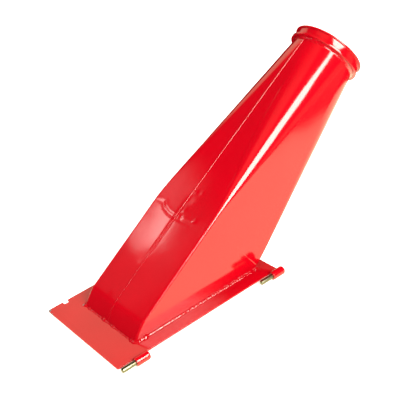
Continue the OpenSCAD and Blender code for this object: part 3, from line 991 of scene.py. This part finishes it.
def barrel_profile(h):
    """A barrel cut along its axis: a blind hole from the open end, and a rounded closed end."""
    hole = h.shank_radius + SHANK_GAP
    return rounded_profile([
        (h.shank_length, 0.0, 0), (h.shank_length, hole, 0.0003), (0.0, hole, 0.0004),
        (0.0, h.barrel_radius, 0.0007), (h.barrel_length, h.barrel_radius, h.barrel_end),
        (h.barrel_length, 0.0, 0)], 7)


def pin_profile(h):
    """A pin cut along its axis: chamfered end, full radius, shoulder and shank."""
    held = h.shank_length - HOLE_END_GAP
    return rounded_profile([
        (-h.pin_out, 0.0, 0), (-h.pin_out, h.pin_radius - h.pin_chamfer, 0.0003),
        (h.pin_chamfer - h.pin_out, h.pin_radius, 0.0004), (-SHOULDER_GAP, h.pin_radius, 0.0003),
        (-SHOULDER_GAP, h.shank_radius, 0.0001), (held, h.shank_radius, 0.0004), (held, 0.0, 0)], 4)


def hinge_bead(h, plate_top, start):
    """A hollow fillet in the corner between the plate's top and a barrel.

    Its face is a curve with one control point in the corner: (1 - t) squared times the point
    on the barrel, plus 2t(1 - t) times the corner, plus t squared times the point on the plate.
    """
    short = reach = 0.003
    at = np.arange(short, h.barrel_length - short, 0.0009)
    leg = 0.0027 + 0.0004 * grain(at / 0.006, 31) + 0.0003 * grain(at / 0.003, 32, 2)
    high = (plate_top + reach * np.clip(leg / reach, 0.3, 1.15))[:, None]
    on_barrel = -h.line_y + np.sqrt(h.barrel_radius ** 2 - (high - h.line_z) ** 2) - 0.0002
    t = np.linspace(0, 1, 8)[None, :]
    y = (1 - t) ** 2 * on_barrel + 2 * t * (1 - t) * (-0.0004) + t * t * leg[:, None]
    z = (1 - t) ** 2 * high + 2 * t * (1 - t) * (plate_top + 0.0006) + t * t * plate_top
    flat = np.ones_like(leg)
    low_y = np.stack([leg, -0.0001 * flat, -0.0001 * flat, -0.0012 * flat], -1)
    low_z = np.stack([(plate_top - 0.0003) * flat] * 2 + [0.0001 * flat] * 2, -1)
    section = np.stack([np.concatenate([y, low_y], 1), np.concatenate([z, low_z], 1)], -1)
    path = np.stack([start + at, 0 * at, 0 * at], -1)
    across, up = (np.repeat([way], len(at), 0) for way in ([0, 1.0, 0], [0, 0, 1.0]))
    return swept(path, across, up, section)


class CHUTE_OT_hinges(bpy.types.Operator):
    """Turn the hinge barrels and pins and weld the barrels to the plate"""
    bl_idname = "chute.hinges"
    bl_label = "Hinges"

    def execute(self, context):
        h = context.scene.chute_hinge
        plate_top = context.scene.chute_body.plate_thickness
        along, up, across = np.eye(3)[[0, 2, 1]]
        for which, start in (("front", h.front_start), ("rear", h.rear_start)):
            place = (np.array([start, -h.line_y, h.line_z]), along, up, across)
            grid = turned(barrel_profile(h), *place, 96)
            make_piece(f"{which}_barrel_turned", grid, [grid_faces(*grid.shape[:2], wrap_rows=True)],
                       finish_of("barrel_enamel"), [f"{which}_hinge_barrel"])
            grid = turned(pin_profile(h), *place, 72)
            make_piece(f"{which}_pin_turned", grid, [grid_faces(*grid.shape[:2], wrap_rows=True)],
                       finish_of("zinc_plating"), [f"{which}_hinge_pin"])
            grid = hinge_bead(h, plate_top, start)
            make_piece(f"{which}_hinge_bead", grid, [grid_faces(*grid.shape[:2], wrap_cols=True)],
                       finish_of("weld_enamel"), [f"{which}_hinge_weld"])
        return {"FINISHED"}


def arc(hub_x, hub_y, radius, start, end, points=9):
    """Points of an arc: its hub plus the radius times the cosine and sine of angles in degrees."""
    a = np.radians(np.linspace(start, end, points))
    return np.stack([hub_x + radius * np.cos(a), hub_y + radius * np.sin(a)], -1)


def plate_outline(p, inset):
    """The plate's outer edge, moved inwards: corner arcs, and arcs at the bottom of each notch."""
    long, wide, r = p.plate_length, p.plate_width, p.corner
    half, depth, bottom = p.notch_width / 2, wide - p.notch_depth, p.notch_corner
    runs = [arc(r, r, r - inset, 180, 270), arc(long - r, r, r - inset, 270, 360),
            arc(long - r, wide - r, r - inset, 0, 90)]
    for middle in (long - p.notch_in, p.notch_in):
        runs += [
            np.array([[middle + half + inset, wide - inset]]),
            arc(middle + half - bottom, depth + bottom, bottom + inset, 0, -90, 7),
            arc(middle - half + bottom, depth + bottom, bottom + inset, -90, -180, 7),
            np.array([[middle - half - inset, wide - inset]]),
        ]
    runs.append(arc(r, wide - r, r - inset, 90, 180))
    return np.concatenate(runs)


def plate_rings(p, thick):
    """The outline at each height: quarter circles round the lower and the upper edge."""
    turn = np.linspace(0, math.pi / 2, 5)
    rise, back = p.edge * (1 - np.cos(turn)), p.edge * (1 - np.sin(turn))
    insets, heights = np.concatenate([back, rise]), np.concatenate([rise, thick - back])
    outlines = [plate_outline(p, inset) for inset in insets]
    return np.stack([np.column_stack([line, np.full(len(line), z)])
                     for line, z in zip(outlines, heights)])


def mouth_rim(shape, points=24):
    """The rectangle that the sheet's inside makes on the plate's top, with points along each side."""
    sheet, hinge_strip = shape.s.sheet, shape.s.hinge_strip
    front_slope, back_slope = unit(shape.toe - shape.front)[1], unit(shape.low - shape.back)[1]
    x0, x1 = shape.front[0] + sheet / front_slope, shape.back[0] - sheet / back_slope
    y0, y1 = hinge_strip + sheet, hinge_strip + shape.s.mouth_width - sheet
    corners = np.array([(x0, y0), (x1, y0), (x1, y1), (x0, y1)])
    return np.concatenate([np.linspace(a, b, points, endpoint=False)
                           for a, b in zip(corners, np.roll(corners, -1, 0))])


def inside(line, q):
    """A point is inside where a ray along X crosses the outline an odd number of times."""
    a, b = line, np.roll(line, -1, 0)
    above = (a[None, :, 1] > q[:, None, 1]) != (b[None, :, 1] > q[:, None, 1])
    with np.errstate(divide="ignore", invalid="ignore"):
        x = a[:, 0] + (q[:, None, 1] - a[:, 1]) * (b[:, 0] - a[:, 0]) / (b[:, 1] - a[:, 1])
    return (above & (q[:, None, 0] < x)).sum(1) % 2 == 1


def filled(line, hole):
    """Triangles between an outline and a hole in it, numbered along the outline and then the hole."""
    flat = np.concatenate([line, hole])
    edges = [(k, (k + 1) % len(line)) for k in range(len(line))]
    edges += [(len(line) + k, len(line) + (k + 1) % len(hole)) for k in range(len(hole))]
    _, _, found, origin, _, _ = delaunay_2d_cdt([Vector(q) for q in flat], edges, [], 0, 1e-7)
    tri = np.array([[origin[v][0] for v in t] for t in found])
    middle = flat[tri].mean(1)
    return tri[inside(line, middle) & ~inside(hole, middle)]


class CHUTE_OT_plate(bpy.types.Operator):
    """Cut the hinged plate with its latch notches and mouth"""
    bl_idname = "chute.plate"
    bl_label = "Plate"

    def execute(self, context):
        shape, p = body_shape(), context.scene.chute_plate
        outer = plate_rings(p, shape.z0)
        rim = mouth_rim(shape)
        inner = np.stack([np.column_stack([rim, np.full(len(rim), z)]) for z in (0.0, shape.z0)])
        rings, n_out, n_in = *outer.shape[:2], len(rim)
        base = rings * n_out
        tri = filled(outer[-1][:, :2], rim)

        def level(ring, row):
            return np.where(tri < n_out, tri + ring * n_out, tri - n_out + base + row * n_in)

        faces = [grid_faces(rings, n_out, wrap_cols=True), level(rings - 1, 1), level(0, 0)[:, ::-1],
                 grid_faces(2, n_in, wrap_cols=True)[:, ::-1] + base]
        points = np.concatenate([outer.reshape(-1, 3), inner.reshape(-1, 3)])
        make_piece("base_plate_cut", points, faces, finish_of("plate_enamel"), ["base_plate"],
                   flat=0.9999)
        return {"FINISHED"}


# ---- studio -------------------------------------------------------------------------------

def stage_sheet(name, corners, finish):
    """A flat four-cornered piece of the stage, which isn't part of the chute."""
    mesh = bpy.data.meshes.new(name)
    mesh.from_pydata(corners, [], [(0, 1, 2, 3)])
    mesh.materials.append(finish)
    sheet = bpy.data.objects.new(name, mesh)
    bpy.context.scene.collection.objects.link(sheet)
    return sheet


def glow_sheet(name, centre, facing, size, strength, soft, tint=(1, 1, 1), across=None, glossy=True,
               diffuse=True):
    """A lamp's diffuser: a rectangle that shines and fades to its edges.

    soft holds the width of the fade at the left, right, lower and upper edge, as shares of
    the rectangle. The glow is the product of the four fades, each 3t squared less 2t cubed.
    """
    back = -Vector(facing).normalized()
    x_axis = Vector(across) if across else Vector((0, 0, 1)).cross(back)
    x_axis = (x_axis - x_axis.dot(back) * back).normalized()
    y_axis = back.cross(x_axis)
    m = Finish(name)
    x = m.add("ShaderNodeSeparateXYZ", inputs={0: m.place}, out="X")
    y = m.add("ShaderNodeSeparateXYZ", inputs={0: m.place}, out="Y")
    w, h = size[0] / 2, size[1] / 2
    glow = 1.0
    for along, half, low, high in ((x, w, soft[0], soft[1]), (y, h, soft[2], soft[3])):
        t = along / (2 * half) + 0.5
        for part, width in ((t, low), (1.0 - t, high)):
            rise = (part / width).clipped()
            glow = rise * rise * (3.0 - 2.0 * rise) * glow
    m.shown(m.add("ShaderNodeMixShader", inputs={
        0: glow, 1: m.glowing((0, 0, 0), 0.0), 2: m.glowing(tint, strength)}))
    lamp = stage_sheet(name, [(-w, h, 0), (w, h, 0), (w, -h, 0), (-w, -h, 0)], m.material)
    turn = Matrix((x_axis, y_axis, back)).transposed().to_4x4()
    lamp.matrix_world = Matrix.Translation(centre) @ turn
    lamp.visible_camera = lamp.visible_shadow = False
    lamp.visible_glossy = glossy
    lamp.visible_diffuse = diffuse


def aim(azimuth, elevation):
    """Unit vector at an azimuth from +X towards +Y and an elevation, both in degrees."""
    a, e = math.radians(azimuth), math.radians(elevation)
    return Vector((math.cos(e) * math.cos(a), math.cos(e) * math.sin(a), math.sin(e)))


def place_camera(scene):
    """The camera's place from the plate's corner, and its right, up and back axes as columns."""
    camera = bpy.data.objects.new("camera", bpy.data.cameras.new("camera"))
    scene.collection.objects.link(camera)
    camera.location = PLATE_CORNER + Vector((-0.51454, -1.15547, 1.06089))
    camera.rotation_euler = Matrix((
        (0.77015, 0.41698, -0.48269), (-0.61983, 0.31058, -0.72066),
        (-0.15059, 0.85421, 0.49765))).to_euler()
    camera.data.lens = 74.104
    camera.data.sensor_width = 36.0
    camera.data.clip_start, camera.data.clip_end = 0.05, 60.0
    scene.camera = camera


def floor_corners(left, right, near, far, below):
    """Corners from distances measured from the plate's corner, a little below the chute."""
    z = CAD_BOX[0].z - below
    return [(PLATE_CORNER.x + x, PLATE_CORNER.y + y, z)
            for x, y in ((left, near), (right, near), (right, far), (left, far))]


def lay_floor(light):
    """A pale floor that shines a little, and the lit part of it that only gloss mirrors."""
    m = Finish("pale_floor")
    shade = m.mixed(m.noise(1.5), (0.92, 0.92, 0.92), (0.88, 0.88, 0.89))
    m.finish(one_sided=True, Base_Color=shade, Roughness=0.9, Emission_Color=(1, 1, 1, 1),
             Emission_Strength=light.floor_glow, Specular_IOR_Level=0.1)
    floor = stage_sheet("floor", floor_corners(-8, 8, -8, 8, 0.0010), m.material)
    floor.visible_glossy = False
    m = Finish("lit_floor")
    m.shown(m.glowing((1.0, 0.94, 0.61), light.floor_in_gloss))
    lit = stage_sheet("lit_floor", floor_corners(-3.0, 1.25, -0.375, 0.45, 0.0005), m.material)
    lit.visible_camera = lit.visible_diffuse = lit.visible_shadow = False


def hang_lamps(light):
    """Large lamps aimed at the chute's middle, and three small sheets that the front mirrors."""
    middle = PLATE_CORNER + Vector((0.35, 0.13, 0.15))
    lamps = (
        # name, azimuth, elevation, distance, width and height, strength, faded share, tint
        ("key_lamp", -83, 34, 2.2, (1.38, 1.42), light.key, 0.05, (1.0, 0.94, 0.84),
         {"across": (1.0, -0.17, -0.26)}),
        ("low_lamp", -46, -6, 3.2, (2.8, 1.7), light.over, 0.3, (1.0, 0.85, 0.5), {"diffuse": False}),
        ("left_lamp", -118, 37, 2.3, (0.55, 1.3), light.left, 0.1, (1.0, 0.93, 0.85),
         {"diffuse": False}),
        ("over_lamp", -150, 74, 2.2, (2.2, 2.4), light.over, 0.3, (1.0, 0.85, 0.6), {"diffuse": False}),
        ("back_lamp", 56, 30, 2.4, (2.6, 1.5), light.back, 0.2, (1.0, 0.97, 0.68), {}),
        ("fill_lamp", 165, 28, 2.4, (1.6, 1.6), light.fill, 0.2, (1.0, 1.0, 1.0), {"glossy": False}),
    )
    for name, azimuth, elevation, away, size, strength, fade, tint, more in lamps:
        way = aim(azimuth, elevation)
        glow_sheet(name, middle + way * away, -way, size, strength, (fade,) * 4, tint, **more)

    facing, across, warm = (0.296, -0.744, -0.599), (-0.47, -0.66, 0.59), (1.0, 0.92, 0.85)
    sheets = (
        # name, place from the plate's corner, width and height, strength, faded share at each edge
        ("small_lamp", (-0.258, 1.443, 1.153), (0.135, 0.24), light.small, (0.30, 0.08, 0.35, 0.06)),
        ("upper_veil", (-0.044, 1.583, 1.343), (0.18, 0.38), light.veil, (0.4, 0.12, 0.05, 0.5)),
        ("wide_veil", (-0.359, 1.623, 1.33), (0.6, 1.0), light.veil * 0.25, (0.3, 0.3, 0.2, 0.6)),
    )
    for name, place, size, strength, fades in sheets:
        glow_sheet(name, PLATE_CORNER + Vector(place), facing, size, strength, fades, warm, across)


def fill_air(scene, light):
    """Even light from all round: a strength for matt surfaces, one for gloss, and white behind."""
    scene.world = bpy.data.worlds.new("studio_air")
    scene.world.use_nodes = True
    nodes = Nodes(scene.world.node_tree)
    surface, in_gloss, backdrop = [
        nodes.add("ShaderNodeBackground", inputs={"Color": (1, 1, 1, 1), "Strength": strength})
        for strength in (light.air, light.air_in_gloss, 1.0)]
    for ray, part in (("Is Glossy Ray", in_gloss), ("Is Camera Ray", backdrop)):
        chosen = nodes.add("ShaderNodeLightPath", out=ray)
        surface = nodes.add("ShaderNodeMixShader", inputs={0: chosen, 1: surface, 2: part})
    nodes.shown(surface, "ShaderNodeOutputWorld")


class CHUTE_OT_studio(bpy.types.Operator):
    """Set up the camera, the pale floor and the soft lamps"""
    bl_idname = "chute.studio"
    bl_label = "Studio"

    def execute(self, context):
        scene, light = context.scene, context.scene.chute_light
        place_camera(scene)
        lay_floor(light)
        hang_lamps(light)
        fill_air(scene, light)
        scene.view_settings.view_transform = "Standard"
        return {"FINISHED"}


OPERATORS = (CHUTE_OT_studio, CHUTE_OT_plate, CHUTE_OT_half_shells, CHUTE_OT_seam_welds,
             CHUTE_OT_base_weld, CHUTE_OT_collar, CHUTE_OT_hinges)


class CHUTE_PT_panel(bpy.types.Panel):
    bl_idname = "CHUTE_PT_panel"
    bl_label = "Chute"
    bl_space_type = "VIEW_3D"
    bl_region_type = "UI"
    bl_category = "Chute"

    def draw(self, context):
        for key in GROUPS:
            group = getattr(context.scene, key)
            box = self.layout.box()
            for name in group.__annotations__:
                box.prop(group, name)
        for operator in OPERATORS:
            self.layout.operator(operator.bl_idname)


def register():
    for cls in (*GROUPS.values(), *OPERATORS, CHUTE_PT_panel):
        bpy.utils.register_class(cls)
    for key, cls in GROUPS.items():
        setattr(bpy.types.Scene, key, bpy.props.PointerProperty(type=cls))


def unregister():
    for key in GROUPS:
        delattr(bpy.types.Scene, key)
    for cls in reversed((*GROUPS.values(), *OPERATORS, CHUTE_PT_panel)):
        bpy.utils.unregister_class(cls)


def main():
    register()
    for operator in OPERATORS:
        group, name = operator.bl_idname.split(".")
        getattr(getattr(bpy.ops, group), name)()


if __name__ == "__main__":
    main()
